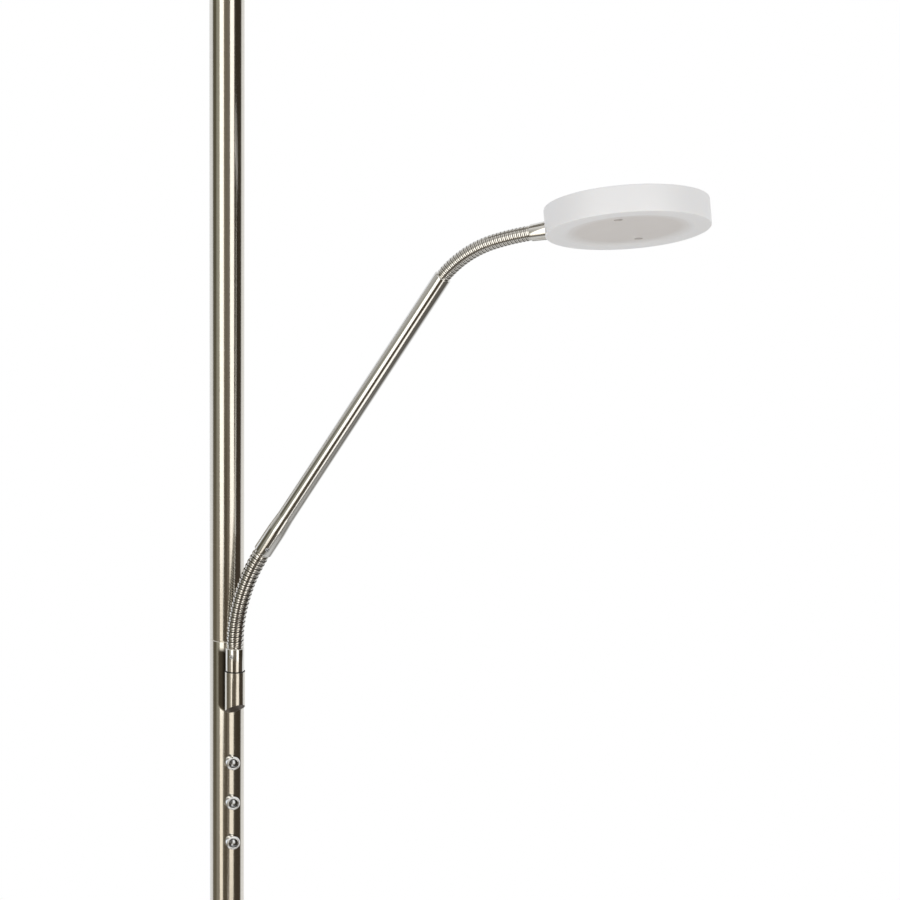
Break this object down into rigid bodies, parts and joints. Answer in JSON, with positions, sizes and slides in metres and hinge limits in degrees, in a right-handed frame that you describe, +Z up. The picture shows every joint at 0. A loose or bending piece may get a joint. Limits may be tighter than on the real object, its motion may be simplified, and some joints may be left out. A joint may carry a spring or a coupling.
{
  "type": "floor lamp with reading light",
  "caption": "Free-standing floor lamp: slim pole on a weighted round base, flat uplighter on top, push dimmers and a round reading light on a bendable arm.",
  "frame": {"origin": "middle of the base's underside, on the pole's axis", "axes": "+Z up along the pole; -Y is the front, where the push buttons and the arm's bracket are; +X is to the right seen from the front"},
  "size_m": [0.4211, 0.4064, 1.802],
  "materials": {
    "satin_nickel": "satin, brushed along the tube",
    "polished_nickel": "polished nickel plate",
    "opal_acrylic": "satin opal white",
    "aluminium": "satin",
    "cast_iron": "raw casting",
    "felt": "matte felt",
    "rubber": "matte",
    "black_nylon": "matte",
    "circuit_board": "white solder mask",
    "led": "glossy phosphor",
    "driver_case": "matte",
    "zinc_steel": "zinc plate"
  },
  "bodies": {
    "stand": {"base_cover": "satin_nickel", "base_weight": "cast_iron", "base_pad": "felt", "pole_foot": "satin_nickel", "base_washer": "zinc_steel", "base_nut": "zinc_steel", "cord_gland": "rubber", "pole_tube_lower": "satin_nickel", "pole_tube_middle": "satin_nickel", "pole_tube_upper": "satin_nickel", "pole_coupler_lower": "zinc_steel", "pole_coupler_upper": "zinc_steel", "dimmer_collars": "polished_nickel", "dimmer_nuts": "zinc_steel", "dimmer_board": "circuit_board", "dimmer_switches": "black_nylon", "arm_bracket": "polished_nickel", "bracket_nipple": "zinc_steel", "bracket_nut": "zinc_steel", "swivel_washer": "black_nylon", "swivel_screw": "zinc_steel", "uplight_hub": "satin_nickel", "uplight_pan": "satin_nickel", "uplight_washer": "zinc_steel", "uplight_nut": "zinc_steel", "led_driver": "driver_case", "uplight_plate": "aluminium", "uplight_board": "circuit_board", "uplight_leds": "led", "uplight_drum": "opal_acrylic", "uplight_screws": "zinc_steel"},
    "button_top": {"button_top": "polished_nickel"},
    "button_middle": {"button_middle": "polished_nickel"},
    "button_bottom": {"button_bottom": "polished_nickel"},
    "arm_foot": {"arm_ferrule": "polished_nickel", "ferrule_screw": "zinc_steel", "lower_hose": "polished_nickel"},
    "arm": {"arm_tube": "satin_nickel", "tube_screw": "zinc_steel", "upper_hose": "polished_nickel"},
    "neck": {"head_ferrule": "polished_nickel", "stem_nut": "zinc_steel"},
    "head": {"head_drum": "opal_acrylic", "head_plate": "aluminium", "head_board": "circuit_board", "head_leds": "led", "head_screws": "zinc_steel"}
  },
  "joints": [
    {"name": "button_top_press", "type": "slide", "parent": "stand", "child": "button_top", "axis": [0, 1, 0], "range_m": [0, 0.0013], "stiffness_N_per_m": 1500, "springref_m": -0.0006},
    {"name": "button_middle_press", "type": "slide", "parent": "stand", "child": "button_middle", "axis": [0, 1, 0], "range_m": [0, 0.0013], "stiffness_N_per_m": 1500, "springref_m": -0.0006},
    {"name": "button_bottom_press", "type": "slide", "parent": "stand", "child": "button_bottom", "axis": [0, 1, 0], "range_m": [0, 0.0013], "stiffness_N_per_m": 1500, "springref_m": -0.0006},
    {"name": "arm_swing", "type": "hinge", "parent": "stand", "child": "arm_foot", "pos_m": [0, -0.0204, 1.09], "axis": [0, 0, 1], "range_deg": [-139, 39]},
    {"name": "lower_flex", "type": "hinge", "parent": "arm_foot", "child": "arm", "pos_m": [0, -0.0204, 1.1473], "axis": [0.6428, 0.766, 0], "range_deg": [-20, 50], "deforming": ["lower_hose"]},
    {"name": "upper_flex", "type": "hinge", "parent": "arm", "child": "neck", "pos_m": [0.13294, -0.13195, 1.4125], "axis": [0.6428, 0.766, 0], "range_deg": [-30, 60], "deforming": ["upper_hose"]},
    {"name": "head_turn", "type": "hinge", "parent": "neck", "child": "head", "pos_m": [0.18102, -0.17229, 1.42584], "axis": [0.7493, -0.6287, 0.2079], "range_deg": [-90, 90]}
  ]
}
